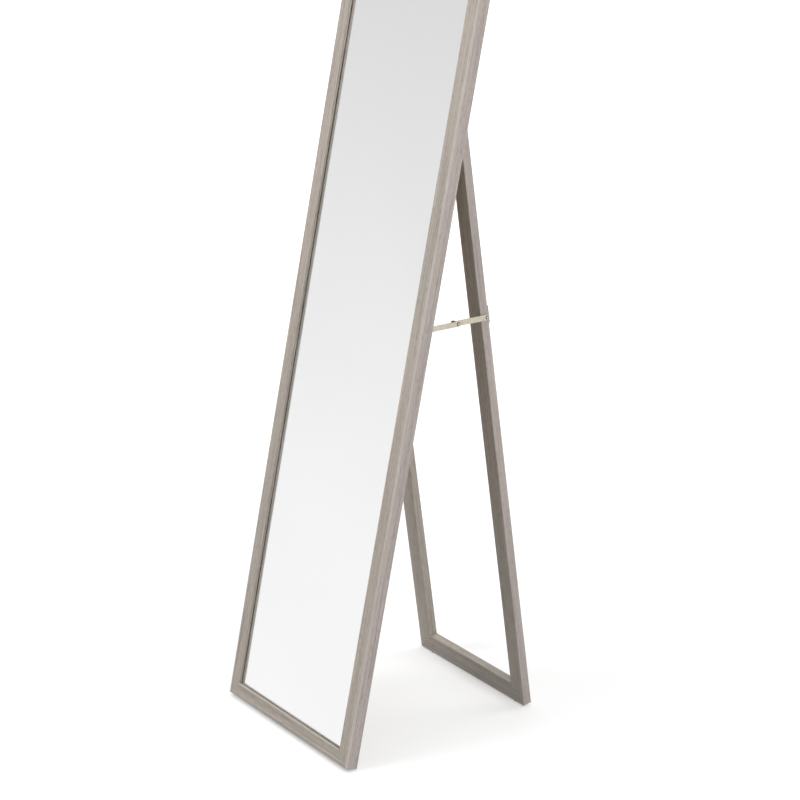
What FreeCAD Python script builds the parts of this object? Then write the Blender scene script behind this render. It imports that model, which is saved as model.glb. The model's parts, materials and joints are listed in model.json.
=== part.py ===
import FreeCAD, Part
import math
import os

from FreeCAD import Placement, Rotation, Vector

# Free-standing floor mirror. A rebated, mitred moulding holds the silvered pane and its backing
# board, and a mitred rear stand is hinged to a rail across the back of the frame. A folding stay
# of two flat links on the right-hand side sets how far the stand opens.
#
# Millimetres. The mirror is drawn upright: X to the viewer's right, Y from the front of the
# moulding to the back, Z up from the bottom edge. The stand is drawn folded flat on the back,
# then swung open about its hinge pins, and last of all the mirror is leaned back on its feet.

# ---- mirror frame ----
MIRROR_WIDTH = 370.0
MIRROR_HEIGHT = 1570.0
FRAME_DEPTH = 25.0
FACE_WIDTH = 26.0
LIP_WIDTH = 6.0          # how far the lip covers the edge of the pane
LIP_BACK = 4.6           # from the front of the moulding to the face of the pane
BEAD_WIDTH = 7.0         # outer bead: a tight round on the side that runs into a flatter one
BEAD_SIDE_RADIUS = 3.0
BEAD_FACE_RADIUS = 10.0
BEAD_LAND = 1.4
FIELD_DROP = 0.7         # the flat field lies this far behind the two beads, with sloping edges
LIP_ROUND = 2.0
LIP_LAND = 0.8
SIDE_GROOVE_DEPTH = 0.7
SIDE_GROOVE_FROM_FRONT = 15.5
REAR_CHAMFER = 0.8

# ---- pane, backing and what holds them ----
PANE_THICK = 4.0
PANE_CLEARANCE = 1.0     # the setting blocks fill it under the pane
SETTING_BLOCK_LENGTH = 25.0
SETTING_BLOCK_SPACING = 160.0
BOARD_THICK = 3.0
BOARD_CLEARANCE = 0.5
POINT_THICK = 0.5        # flat steel glazing points
POINT_WIDTH = 8.0
POINT_LENGTH = 14.0
POINT_BURIED = 6.0
LOWER_POINT_COUNT = 4    # on each stile, below and above the hinge rail
UPPER_POINT_COUNT = 2
END_POINT_COUNT = 2
POINT_END_MARGIN = 130.0

# ---- rear stand ----
STAND_INSET = 29.0       # each side of the stand from the side of the mirror: room for the stay
STAND_BAR_WIDTH = 34.0
STAND_BAR_DEPTH = 16.0
STAND_ARRIS = 1.5
STAND_CORNER_ROUND = 4.0
STAND_FOLDED_BOTTOM = 13.0   # folded, the stand ends this far above the mirror's bottom edge
OPEN_ANGLE = 19.67       # between the folded and the open stand, in degrees
FOLD_GAP = 0.5           # between the folded stand and the back of the frame

# ---- V-shaped nails across the joints of both frames ----
NAIL_THICK = 0.4
NAIL_LEG = 7.0
NAIL_DEPTH = 7.0
FRAME_NAIL_INSETS = (4.0, 10.0)
STAND_NAIL_INSETS = (9.0, 19.0)

# ---- butt hinges ----
PIN_BELOW_TOP = 465.0    # hinge pin below the top edge of the mirror
PIN_RADIUS = 1.3
PIN_RUNNING = 0.05       # radial clearance of a pin or rivet that turns
KNUCKLE_RADIUS = 2.5
KNUCKLE_GAP = 0.3
KNUCKLE_COUNT = 3
HINGE_LENGTH = 50.0
HINGE_SIDE_INSET = 56.0  # middle of a hinge from the side of the stand
LEAF_THICK = 1.2
LEAF_REACH = 11.9        # from the pin to the free edge of a leaf
LEAF_SCREW_SPACING = 32.0
RAIL_HEIGHT = 40.0       # hinge rail across the back of the frame
RAIL_PIN_CLEARANCE = 0.4
RAIL_NAIL_SHARES = (0.2, 0.6)    # places up the end of the rail
RAIL_NAIL_OVERLAP = 3.0          # how far the nails reach into the stiles
RAIL_END_CLEARANCE = 0.3

# ---- flat-head wood screws ----
SCREW_HEAD_RADIUS = 2.6
SCREW_SHANK_RADIUS = 1.3
SCREW_LENGTH = 12.0
SCREW_HEAD_HEIGHT = 1.0
SCREW_CLEARANCE = 0.1
SCREW_SLOT_WIDTH = 0.7
SCREW_SLOT_DEPTH = 0.5

# ---- folding stay ----
STAY_DROP = 348.0        # both end pivots lie this far below the hinge pin
STAY_FRAME_STANDOFF = 8.5    # front pivot behind the back of the frame
STAY_STAND_DEPTH = 11.0      # rear pivot behind the front face of the stand
LINK_WIDTH = 9.6
LINK_THICK = 1.5
LINK_TAIL = 15.0         # the rear link runs on past the knee
LINK_END_GAP = 0.2
RIVET_RADIUS = 2.0
RIVET_HEAD_RADIUS = 3.3
RIVET_HEAD_HEIGHT = 1.0
KNEE_GAP = 0.3           # the open pivot: washer and rear link stay this far apart
KNEE_WASHER_RADIUS = 4.4
TAB_START = 7.0          # stop tab, measured from the knee
TAB_LENGTH = 7.0
TAB_GAP = 0.2
TAB_OVERHANG = 0.3
BRACKET_THICK = 1.2
BRACKET_FLANGE = 15.0
BRACKET_UP = 19.0
BRACKET_DOWN = 12.0
BRACKET_BEND = 1.1
BRACKET_SCREW_UP = 13.0
BRACKET_SCREW_DOWN = 6.0
BRACKET_SCREW_INSET = 7.5

# ---- rubber feet, glued on and flattened where they bear on the floor ----
FOOT_LIFT = 2.0          # height of the lowest wooden edges above the floor
FOOT_RADIUS = 6.0
FOOT_THICK = 4.5         # before the floor flattens it
FOOT_EDGE_INSET = 8.0    # foot centre from the wooden edge that it protects
FRAME_FOOT_SIDE_INSET = 40.0     # foot centre from the side of its frame
STAND_FOOT_SIDE_INSET = 31.5

# ---- sizes that follow ----
WALL_WIDTH = FACE_WIDTH - LIP_WIDTH
REBATE_HALF = MIRROR_WIDTH / 2 - WALL_WIDTH
PANE_BACK = LIP_BACK + PANE_THICK
BOARD_BACK = PANE_BACK + BOARD_THICK
PIN_OFFSET = KNUCKLE_RADIUS + KNUCKLE_GAP    # pin from the face that a leaf is screwed to
PIN_DEPTH = FRAME_DEPTH + PIN_OFFSET + KNUCKLE_GAP
STAND_FRONT = FRAME_DEPTH + FOLD_GAP
STAND_BACK = STAND_FRONT + STAND_BAR_DEPTH
PIN_HEIGHT = MIRROR_HEIGHT - PIN_BELOW_TOP
STAND_TOP = PIN_HEIGHT - PIN_OFFSET
STAND_HALF = MIRROR_WIDTH / 2 - STAND_INSET
STAND_WIDTH = 2 * STAND_HALF
RAIL_BOTTOM = PIN_HEIGHT + KNUCKLE_RADIUS + RAIL_PIN_CLEARANCE
RAIL_TOP = RAIL_BOTTOM + RAIL_HEIGHT
X_AXIS = Vector(1, 0, 0)
Y_AXIS = Vector(0, 1, 0)
Z_AXIS = Vector(0, 0, 1)


# ---- how the stand opens and the mirror leans ----
def turn_about_pin(y, z, degrees):
    """Move a point of the side view about the hinge pin; positive opens the stand."""
    a = math.radians(degrees)
    dy = y - PIN_DEPTH
    dz = z - PIN_HEIGHT
    turned_y = PIN_DEPTH + dy * math.cos(a) - dz * math.sin(a)
    turned_z = PIN_HEIGHT + dy * math.sin(a) + dz * math.cos(a)
    return turned_y, turned_z


# The back bottom edge of the frame and the front bottom edge of the open stand are level.
stand_edge_y, stand_edge_z = turn_about_pin(STAND_FRONT, STAND_FOLDED_BOTTOM, OPEN_ANGLE)
LEAN = math.degrees(math.atan2(stand_edge_z, stand_edge_y - FRAME_DEPTH))

SWING = Placement(Vector(), Rotation(X_AXIS, OPEN_ANGLE), Vector(0, PIN_DEPTH, PIN_HEIGHT))
LEANED = Placement(Vector(0, -FRAME_DEPTH, FOOT_LIFT), Rotation(X_AXIS, -LEAN), Vector(0, FRAME_DEPTH, 0))


# ---- small makers ----
def box(x_range, y_range, z_range):
    corner = Vector(x_range[0], y_range[0], z_range[0])
    sides = [b - a for a, b in (x_range, y_range, z_range)]
    return Part.makeBox(sides[0], sides[1], sides[2], corner)


def prism(points, along):
    """A straight-sided solid on a closed outline of points."""
    return Part.Face(Part.makePolygon(points + points[:1])).extrude(along)


def spread(count, first, last):
    """Evenly spaced places from the first to the last."""
    step = (last - first) / max(count - 1, 1)
    return [first + step * i for i in range(count)]


def turned(profile, axis_point, axis):
    """A solid turned from a half profile given as (radius, height) points along an axis."""
    points = [Vector(r, 0, h) for r, h in profile]
    solid = Part.Face(Part.makePolygon(points + points[:1])).revolve(Vector(), Z_AXIS, 360)
    solid.Placement = Placement(axis_point, Rotation(Z_AXIS, axis))
    return solid


# ---- screws, and the holes made for them ----
def screw(seat, axis):
    """A slotted flat-head screw: seat is the centre of the underside of its head, on the plate,
    and axis the way it is driven."""
    body = turned([
        (0, -SCREW_HEAD_HEIGHT),
        (SCREW_HEAD_RADIUS, -SCREW_HEAD_HEIGHT),
        (SCREW_HEAD_RADIUS, 0),
        (SCREW_SHANK_RADIUS, 0),
        (SCREW_SHANK_RADIUS, SCREW_LENGTH),
        (0, SCREW_LENGTH),
    ], seat, axis)
    slot = Part.makeBox(2 * SCREW_HEAD_RADIUS, SCREW_SLOT_WIDTH, SCREW_SLOT_DEPTH,
                        Vector(-SCREW_HEAD_RADIUS, -SCREW_SLOT_WIDTH / 2, -SCREW_HEAD_HEIGHT))
    slot.Placement = Placement(seat, Rotation(Z_AXIS, axis))
    return body.cut(slot)


def drilled(shape, seats):
    """Make the screw holes, each seat being (centre on the plate, direction)."""
    for seat, axis in seats:
        hole = Part.makeCylinder(SCREW_SHANK_RADIUS + SCREW_CLEARANCE, SCREW_LENGTH + SCREW_CLEARANCE, seat, axis)
        shape = shape.cut(hole)
    return shape


# ---- mitred frames ----
def mitred_bar(section, length, bar_width, depth_range):
    """A bar along X on its outer edge Z = 0, with both ends cut at 45 degrees."""
    stock = section.extrude(Vector(length, 0, 0))
    stock.translate(Vector(-length / 2, 0, 0))
    half = length / 2
    start, stop = depth_range
    outline = [
        Vector(-half, start, 0),
        Vector(half, start, 0),
        Vector(half - bar_width, start, bar_width),
        Vector(-half + bar_width, start, bar_width),
    ]
    return stock.common(prism(outline, Vector(0, stop - start, 0)))


def four_bars(section, width, height, bottom, bar_width, depth_range):
    """Left stile, right stile, top rail and bottom rail of one rectangular frame."""
    stile = mitred_bar(section, height, bar_width, depth_range)
    rail = mitred_bar(section, width, bar_width, depth_range)
    middle = bottom + height / 2
    places = (
        (stile, 90, Vector(-width / 2, 0, middle)),
        (stile, -90, Vector(width / 2, 0, middle)),
        (rail, 180, Vector(0, 0, bottom + height)),
        (rail, 0, Vector(0, 0, bottom)),
    )
    bars = []
    for bar, angle, place in places:
        piece = bar.copy()
        piece.Placement = Placement(place, Rotation(Y_AXIS, angle))
        bars.append(piece)
    return bars


def v_nail(apex, across, along):
    """A V-shaped nail driven in from the back, its legs running across (X) and along (Z)."""
    outline = [
        (0, 0),
        (NAIL_LEG, 0),
        (NAIL_LEG, NAIL_THICK),
        (NAIL_THICK, NAIL_THICK),
        (NAIL_THICK, NAIL_LEG),
        (0, NAIL_LEG),
    ]
    points = [apex + Vector(across * u, 0, along * v) for u, v in outline]
    return prism(points, Vector(0, -NAIL_DEPTH, 0))


def corner_nails(width, height, bottom, insets, back):
    """V-shaped nails across each mitre, flush with the back."""
    nails = []
    for side in (-1, 1):
        for end in (-1, 1):
            corner_x = side * width / 2
            corner_z = bottom + (height if end > 0 else 0)
            for inset in insets:
                apex = Vector(corner_x - side * inset, back, corner_z - end * inset)
                nails.append(v_nail(apex, -side, -end))
    return nails


# ---- mirror frame ----
def moulding_section():
    """Cut through the moulding: Y is depth from the front, Z is in from the outer edge."""
    # centres of the bead's two rounds, which touch the side, each other and the face
    face_centre = Vector(0, BEAD_FACE_RADIUS, BEAD_WIDTH)
    between = BEAD_FACE_RADIUS - BEAD_SIDE_RADIUS
    inward = BEAD_WIDTH - BEAD_SIDE_RADIUS
    side_centre = Vector(0, BEAD_FACE_RADIUS - math.sqrt(between ** 2 - inward ** 2), BEAD_SIDE_RADIUS)
    face_turn = math.asin(inward / between)
    side_turn = math.pi / 2 - face_turn

    def from_face(centre, radius, angle):
        """A point on a round, turned from straight out of the face towards the side."""
        return centre + Vector(0, -radius * math.cos(angle), -radius * math.sin(angle))

    join = from_face(face_centre, BEAD_FACE_RADIUS, face_turn)
    face_middle = from_face(face_centre, BEAD_FACE_RADIUS, face_turn / 2)
    side_middle = from_face(side_centre, BEAD_SIDE_RADIUS, face_turn + side_turn / 2)
    side_start = Vector(0, side_centre.y, 0)
    bead_top = Vector(0, 0, BEAD_WIDTH)

    lip_start = FACE_WIDTH - LIP_ROUND - LIP_LAND
    bead_end = BEAD_WIDTH + BEAD_LAND
    front = [
        bead_top,
        Vector(0, 0, bead_end),
        Vector(0, FIELD_DROP, bead_end + FIELD_DROP),
        Vector(0, FIELD_DROP, lip_start - 2 * FIELD_DROP),
        Vector(0, 0, lip_start),
        Vector(0, 0, lip_start + LIP_LAND),
    ]
    lip_centre = Vector(0, LIP_ROUND, FACE_WIDTH - LIP_ROUND)
    slant = LIP_ROUND * math.sqrt(0.5)
    groove = SIDE_GROOVE_DEPTH
    back = [
        Vector(0, LIP_ROUND, FACE_WIDTH),
        Vector(0, LIP_BACK, FACE_WIDTH),
        Vector(0, LIP_BACK, WALL_WIDTH),
        Vector(0, FRAME_DEPTH, WALL_WIDTH),
        Vector(0, FRAME_DEPTH, REAR_CHAMFER),
        Vector(0, FRAME_DEPTH - REAR_CHAMFER, 0),
        Vector(0, SIDE_GROOVE_FROM_FRONT + groove, 0),
        Vector(0, SIDE_GROOVE_FROM_FRONT, groove),
        Vector(0, SIDE_GROOVE_FROM_FRONT - groove, 0),
        side_start,
    ]
    edges = [Part.Arc(side_start, side_middle, join).toShape(), Part.Arc(join, face_middle, bead_top).toShape()]
    edges += [Part.makeLine(a, b) for a, b in zip(front, front[1:])]
    edges.append(Part.Arc(front[-1], lip_centre + Vector(0, -slant, slant), back[0]).toShape())
    edges += [Part.makeLine(a, b) for a, b in zip(back, back[1:])]
    return Part.Face(Part.Wire(edges))


def glazing_points():
    """Flat points pressed into the rebate wall, lying on the backing board."""
    over = POINT_LENGTH - POINT_BURIED
    depth = (BOARD_BACK, BOARD_BACK + POINT_THICK)
    half = POINT_WIDTH / 2
    found = []
    lower = spread(LOWER_POINT_COUNT, POINT_END_MARGIN, RAIL_BOTTOM - POINT_END_MARGIN)
    upper = spread(UPPER_POINT_COUNT, RAIL_TOP + POINT_END_MARGIN, MIRROR_HEIGHT - POINT_END_MARGIN)
    for z in lower + upper:
        for side in (-1, 1):
            ends = sorted((side * (REBATE_HALF - over), side * (REBATE_HALF + POINT_BURIED)))
            found.append(box(ends, depth, (z - half, z + half)))
    for x in spread(END_POINT_COUNT, -REBATE_HALF / 2, REBATE_HALF / 2):
        found.append(box((x - half, x + half), depth, (WALL_WIDTH - POINT_BURIED, WALL_WIDTH + over)))
        top = MIRROR_HEIGHT - WALL_WIDTH
        found.append(box((x - half, x + half), depth, (top - over, top + POINT_BURIED)))
    return found


def pane_like(clearance, depth_range):
    """A sheet that fills the rebate but for its clearance."""
    across = REBATE_HALF - clearance
    tall = (WALL_WIDTH + clearance, MIRROR_HEIGHT - WALL_WIDTH - clearance)
    return box((-across, across), depth_range, tall)


def setting_blocks():
    half = SETTING_BLOCK_LENGTH / 2
    height = (WALL_WIDTH, WALL_WIDTH + PANE_CLEARANCE)
    places = (-SETTING_BLOCK_SPACING / 2, SETTING_BLOCK_SPACING / 2)
    return [box((x - half, x + half), (LIP_BACK, PANE_BACK), height) for x in places]


# ---- hinges ----
def knuckle_spans(own):
    """The stretches of the barrel that belong to one leaf, every other knuckle."""
    pitch = (HINGE_LENGTH + KNUCKLE_GAP) / KNUCKLE_COUNT
    starts = [-HINGE_LENGTH / 2 + i * pitch for i in range(own, KNUCKLE_COUNT, 2)]
    return [(start, start + pitch - KNUCKLE_GAP) for start in starts]


def leaf_screw_places():
    """Along the pin, and out from it, in the middle of the flat of the leaf."""
    out = (PIN_OFFSET + LEAF_REACH) / 2
    return [(-LEAF_SCREW_SPACING / 2, out), (LEAF_SCREW_SPACING / 2, out)]


def hinge_leaf(own):
    """A leaf with its pin on the X axis, running out along Y and seated at Z = -PIN_OFFSET."""
    half = HINGE_LENGTH / 2
    thick = (-PIN_OFFSET, -PIN_OFFSET + LEAF_THICK)
    leaf = box((-half, half), (PIN_OFFSET, LEAF_REACH), thick)
    for start, stop in knuckle_spans(own):
        barrel = Part.makeCylinder(KNUCKLE_RADIUS, stop - start, Vector(start, 0, 0), X_AXIS)
        leaf = leaf.fuse(barrel).fuse(box((start, stop), (0, PIN_OFFSET), thick))
    bore = Part.makeCylinder(PIN_RADIUS + PIN_RUNNING, HINGE_LENGTH, Vector(-half, 0, 0), X_AXIS)
    leaf = leaf.cut(bore).removeSplitter()
    seats = [(Vector(x, y, thick[1]), Vector(0, 0, -1)) for x, y in leaf_screw_places()]
    return drilled(leaf, seats)


def hinge_pin(x):
    return Part.makeCylinder(PIN_RADIUS, HINGE_LENGTH, Vector(x - HINGE_LENGTH / 2, PIN_DEPTH, PIN_HEIGHT), X_AXIS)


# The frame's leaf runs up the hinge rail, and the stand's leaf back over the stand's top edge.
FRAME_LEAF_TURN = Rotation(X_AXIS, 90)
STAND_LEAF_TURN = Rotation()


def leaf_place(x, turn):
    return Placement(Vector(x, PIN_DEPTH, PIN_HEIGHT), turn)


def leaf_screw_seats(turn):
    seats = []
    for hinge_x in HINGE_PLACES:
        place = leaf_place(hinge_x, turn)
        for x, y in leaf_screw_places():
            face = Vector(x, y, -PIN_OFFSET + LEAF_THICK)
            seats.append((place.multVec(face), turn.multVec(Vector(0, 0, -1))))
    return seats


HINGE_PLACES = (HINGE_SIDE_INSET - STAND_HALF, STAND_HALF - HINGE_SIDE_INSET)


# ---- folding stay ----
# Stack across X, from the side of the stand outwards.
stand_ear_x = (STAND_HALF, STAND_HALF + BRACKET_THICK)
rear_link_x = (stand_ear_x[1] + LINK_END_GAP, stand_ear_x[1] + LINK_END_GAP + LINK_THICK)
rear_head_x = rear_link_x[1] + RIVET_HEAD_HEIGHT
front_link_x = (rear_head_x + KNEE_GAP, rear_head_x + KNEE_GAP + LINK_THICK)
knee_washer_x = (rear_link_x[1] + KNEE_GAP, front_link_x[0])
frame_ear_x = (front_link_x[1] + LINK_END_GAP, front_link_x[1] + LINK_END_GAP + BRACKET_THICK)

# End pivots in the side view of the upright mirror, with the stand folded and then open.
PIVOT_HEIGHT = PIN_HEIGHT - STAY_DROP
FRONT_PIVOT = (FRAME_DEPTH + STAY_FRAME_STANDOFF, PIVOT_HEIGHT)
REAR_PIVOT_FOLDED = (STAND_FRONT + STAY_STAND_DEPTH, PIVOT_HEIGHT)
REAR_PIVOT = turn_about_pin(REAR_PIVOT_FOLDED[0], REAR_PIVOT_FOLDED[1], OPEN_ANGLE)
STAY_SPAN = math.dist(FRONT_PIVOT, REAR_PIVOT)
LINK_LENGTH = STAY_SPAN / 2      # the open stay is straight, so each link is half of the span
STAY_ANGLE = math.degrees(math.atan2(REAR_PIVOT[1] - FRONT_PIVOT[1], REAR_PIVOT[0] - FRONT_PIVOT[0]))
KNEE = ((FRONT_PIVOT[0] + REAR_PIVOT[0]) / 2, (FRONT_PIVOT[1] + REAR_PIVOT[1]) / 2)


def link_plate(x_range, start, stop):
    """A flat bar along Y with half-round ends centred on start and stop."""
    half = LINK_WIDTH / 2
    x = x_range[0]
    corners = [
        Vector(x, start, half),
        Vector(x, stop, half),
        Vector(x, stop, -half),
        Vector(x, start, -half),
    ]
    outline = Part.Wire([
        Part.makeLine(corners[0], corners[1]),
        Part.Arc(corners[1], Vector(x, stop + half, 0), corners[2]).toShape(),
        Part.makeLine(corners[2], corners[3]),
        Part.Arc(corners[3], Vector(x, start - half, 0), corners[0]).toShape(),
    ])
    return Part.Face(outline).extrude(Vector(x_range[1] - x_range[0], 0, 0))


def rivet_hole(x_range, y, clearance):
    return Part.makeCylinder(RIVET_RADIUS + clearance, x_range[1] - x_range[0], Vector(x_range[0], y, 0), X_AXIS)


def rivet(x_start, x_stop, head_side):
    """A shank along X from start to stop, with a flat round head at the head's end."""
    shank = Part.makeCylinder(RIVET_RADIUS, x_stop - x_start, Vector(x_start, 0, 0), X_AXIS)
    seat = Vector(x_stop if head_side > 0 else x_start, 0, 0)
    head = Part.makeCylinder(RIVET_HEAD_RADIUS, RIVET_HEAD_HEIGHT, seat, Vector(head_side, 0, 0))
    return shank.fuse(head)


def along_stay(shape, pivot):
    """Set a piece drawn about its pivot on the line of the open stay."""
    piece = shape.copy()
    piece.Placement = Placement(Vector(0, pivot[0], pivot[1]), Rotation(X_AXIS, STAY_ANGLE))
    return piece


def front_link():
    plate = link_plate(front_link_x, 0, LINK_LENGTH)
    plate = plate.cut(rivet_hole(front_link_x, 0, PIN_RUNNING))
    return along_stay(plate.cut(rivet_hole(front_link_x, LINK_LENGTH, 0)), FRONT_PIVOT)


def rear_link():
    """Drawn from its pivot forwards; its tail past the knee carries the bent stop tab."""
    tail_end = -LINK_LENGTH - LINK_TAIL + LINK_WIDTH / 2
    plate = link_plate(rear_link_x, tail_end, 0)
    edge = LINK_WIDTH / 2
    tab_y = (-LINK_LENGTH - TAB_START - TAB_LENGTH, -LINK_LENGTH - TAB_START)
    tab_top = edge + TAB_GAP + LINK_THICK
    riser = box(rear_link_x, tab_y, (0, tab_top))
    over = box((rear_link_x[0], front_link_x[1] + TAB_OVERHANG), tab_y, (edge + TAB_GAP, tab_top))
    plate = plate.fuse(riser).fuse(over).removeSplitter()
    plate = plate.cut(rivet_hole(rear_link_x, 0, PIN_RUNNING))
    return along_stay(plate.cut(rivet_hole(rear_link_x, -LINK_LENGTH, 0)), REAR_PIVOT)


def knee_washer():
    ring = Part.makeCylinder(KNEE_WASHER_RADIUS, knee_washer_x[1] - knee_washer_x[0],
                             Vector(knee_washer_x[0], 0, 0), X_AXIS)
    return along_stay(ring.cut(rivet_hole(knee_washer_x, 0, 0)), KNEE)


def bracket(ear_x, flange_x, flange_y, pivot, up, down, bend):
    """An angle of pressed steel: a flange for two screws, and an ear rounded about the pivot."""
    half = LINK_WIDTH / 2
    flange = box(flange_x, flange_y, (pivot[1] - down, pivot[1] + up))
    ear_y = (min(pivot[0], flange_y[0]), max(pivot[0], flange_y[1]))
    ear = box(ear_x, ear_y, (pivot[1] - half, pivot[1] + half))
    tip = Part.makeCylinder(half, BRACKET_THICK, Vector(ear_x[0], pivot[0], pivot[1]), X_AXIS)
    plate = flange.fuse(ear).fuse(tip).removeSplitter()
    bend_edges = [e for e in plate.Edges if is_upright_edge_at(e, bend)]
    plate = plate.makeFillet(BRACKET_BEND, bend_edges)
    hole = rivet_hole(ear_x, pivot[0], 0)
    hole.translate(Vector(0, 0, pivot[1]))
    return plate.cut(hole)


def is_upright_edge_at(edge, place):
    ends = [v.Point for v in edge.Vertexes]
    if len(ends) != 2 or abs(ends[0].z - ends[1].z) < BRACKET_THICK:
        return False
    return all(abs(p.x - place[0]) < 0.01 and abs(p.y - place[1]) < 0.01 for p in ends)


def bracket_screw_seats(x, y, pivot, axis):
    heights = (pivot[1] + BRACKET_SCREW_UP, pivot[1] - BRACKET_SCREW_DOWN)
    return [(Vector(x, y, z), axis) for z in heights]


# ---- feet ----
def foot_blank(place):
    """A rubber disc under a wooden edge, before the floor flattens it."""
    return Part.makeCylinder(FOOT_RADIUS, FOOT_THICK, place, -Z_AXIS)


# ======== build, upright and folded ========
mirror_nodes = {}
stand_nodes = {}
stay_nodes = {}

frame_foot_y = FRAME_DEPTH - FOOT_EDGE_INSET
stand_foot_y = STAND_FRONT + FOOT_EDGE_INSET
frame_foot_x = MIRROR_WIDTH / 2 - FRAME_FOOT_SIDE_INSET
stand_foot_x = STAND_HALF - STAND_FOOT_SIDE_INSET
frame_foot_places = [Vector(side * frame_foot_x, frame_foot_y, 0) for side in (-1, 1)]
stand_foot_places = [Vector(side * stand_foot_x, stand_foot_y, STAND_FOLDED_BOTTOM) for side in (-1, 1)]

frame_leaf_seats = leaf_screw_seats(FRAME_LEAF_TURN)
stand_leaf_seats = leaf_screw_seats(STAND_LEAF_TURN)

into_frame = Vector(0, -1, 0)
frame_bracket_screw_x = frame_ear_x[1] + BRACKET_FLANGE - BRACKET_SCREW_INSET
frame_bracket_seats = bracket_screw_seats(
    frame_bracket_screw_x, FRAME_DEPTH + BRACKET_THICK, FRONT_PIVOT, into_frame)
stand_bracket_screw_x = STAND_HALF - BRACKET_FLANGE + BRACKET_SCREW_INSET
stand_bracket_seats = bracket_screw_seats(
    stand_bracket_screw_x, STAND_BACK + BRACKET_THICK, REAR_PIVOT_FOLDED, into_frame)

# V-shaped nails across the joints between the hinge rail and the stiles.
rail_nails = []
for side in (-1, 1):
    for share in RAIL_NAIL_SHARES:
        height = RAIL_BOTTOM + share * RAIL_HEIGHT
        apex = Vector(side * (REBATE_HALF + RAIL_NAIL_OVERLAP), FRAME_DEPTH, height)
        rail_nails.append(v_nail(apex, -side, 1))

# ---- mirror frame: four mitred bars ----
frame_nails = corner_nails(MIRROR_WIDTH, MIRROR_HEIGHT, 0, FRAME_NAIL_INSETS, FRAME_DEPTH)
points = glazing_points()
frame_bars = four_bars(moulding_section(), MIRROR_WIDTH, MIRROR_HEIGHT, 0, FACE_WIDTH, (0, FRAME_DEPTH))
frame_cutters = Part.makeCompound(frame_nails + rail_nails + points)
frame_names = ("frame_left_stile", "frame_right_stile", "frame_top_rail", "frame_bottom_rail")
for name, bar in zip(frame_names, frame_bars):
    bar = bar.cut(frame_cutters)
    if name == "frame_right_stile":
        bar = drilled(bar, frame_bracket_seats)
    mirror_nodes[name] = [bar]
mirror_nodes["frame_corner_nails"] = frame_nails
mirror_nodes["glazing_points"] = points

# ---- pane, setting blocks and backing board ----
mirror_nodes["mirror_pane"] = [pane_like(PANE_CLEARANCE, (LIP_BACK, PANE_BACK))]
mirror_nodes["setting_blocks"] = setting_blocks()
mirror_nodes["backing_board"] = [pane_like(BOARD_CLEARANCE, (PANE_BACK, BOARD_BACK))]

# ---- hinge rail and its nails ----
rail_half = REBATE_HALF - RAIL_END_CLEARANCE
hinge_rail = box((-rail_half, rail_half), (BOARD_BACK, FRAME_DEPTH), (RAIL_BOTTOM, RAIL_TOP))
hinge_rail = drilled(hinge_rail, frame_leaf_seats).cut(Part.makeCompound(rail_nails))
mirror_nodes["hinge_rail"] = [hinge_rail]
mirror_nodes["hinge_rail_nails"] = rail_nails

# ---- butt hinges ----
for name, x in zip(("left", "right"), HINGE_PLACES):
    frame_leaf = hinge_leaf(0)
    frame_leaf.Placement = leaf_place(x, FRAME_LEAF_TURN)
    mirror_nodes["hinge_leaf_frame_" + name] = [frame_leaf]
    stand_leaf = hinge_leaf(1)
    stand_leaf.Placement = leaf_place(x, STAND_LEAF_TURN)
    stand_nodes["hinge_leaf_stand_" + name] = [stand_leaf]
    mirror_nodes["hinge_pin_" + name] = [hinge_pin(x)]
mirror_nodes["frame_leaf_screws"] = [screw(seat, axis) for seat, axis in frame_leaf_seats]
stand_nodes["stand_leaf_screws"] = [screw(seat, axis) for seat, axis in stand_leaf_seats]

# ---- rear stand: four mitred bars with eased edges ----
stand_section = Part.makeBox(1, STAND_BAR_DEPTH, STAND_BAR_WIDTH, Vector(0, STAND_FRONT, 0))
long_edges = [e for e in stand_section.Edges if abs(e.Vertexes[0].X - e.Vertexes[1].X) > 0.5]
stand_section = stand_section.makeFillet(STAND_ARRIS, long_edges)
stand_face = min(stand_section.Faces, key=lambda face: face.CenterOfMass.x)
stand_height = STAND_TOP - STAND_FOLDED_BOTTOM
stand_depth = (STAND_FRONT, STAND_BACK)
stand_bars = four_bars(stand_face, STAND_WIDTH, stand_height, STAND_FOLDED_BOTTOM, STAND_BAR_WIDTH, stand_depth)
rounded = box((-STAND_HALF, STAND_HALF), stand_depth, (STAND_FOLDED_BOTTOM, STAND_TOP))
corner_edges = [e for e in rounded.Edges if abs(e.Vertexes[0].Y - e.Vertexes[1].Y) > 1]
rounded = rounded.makeFillet(STAND_CORNER_ROUND, corner_edges)
stand_nails = corner_nails(STAND_WIDTH, stand_height, STAND_FOLDED_BOTTOM, STAND_NAIL_INSETS, STAND_BACK)
stand_cutters = Part.makeCompound(stand_nails)
stand_names = ("stand_left_stile", "stand_right_stile", "stand_top_rail", "stand_bottom_rail")
for name, bar in zip(stand_names, stand_bars):
    bar = bar.common(rounded).cut(stand_cutters)
    if name == "stand_top_rail":
        bar = drilled(bar, stand_leaf_seats)
    if name == "stand_right_stile":
        bar = drilled(bar, stand_bracket_seats)
    stand_nodes[name] = [bar]
stand_nodes["stand_corner_nails"] = stand_nails

# ---- stay brackets ----
frame_bracket = bracket(
    frame_ear_x, (frame_ear_x[1], frame_ear_x[1] + BRACKET_FLANGE), (FRAME_DEPTH, FRAME_DEPTH + BRACKET_THICK),
    FRONT_PIVOT, BRACKET_UP, BRACKET_DOWN, (frame_ear_x[0], FRAME_DEPTH))
mirror_nodes["stay_bracket_frame"] = [drilled(frame_bracket, frame_bracket_seats)]
mirror_nodes["stay_bracket_frame_screws"] = [screw(seat, axis) for seat, axis in frame_bracket_seats]

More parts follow.
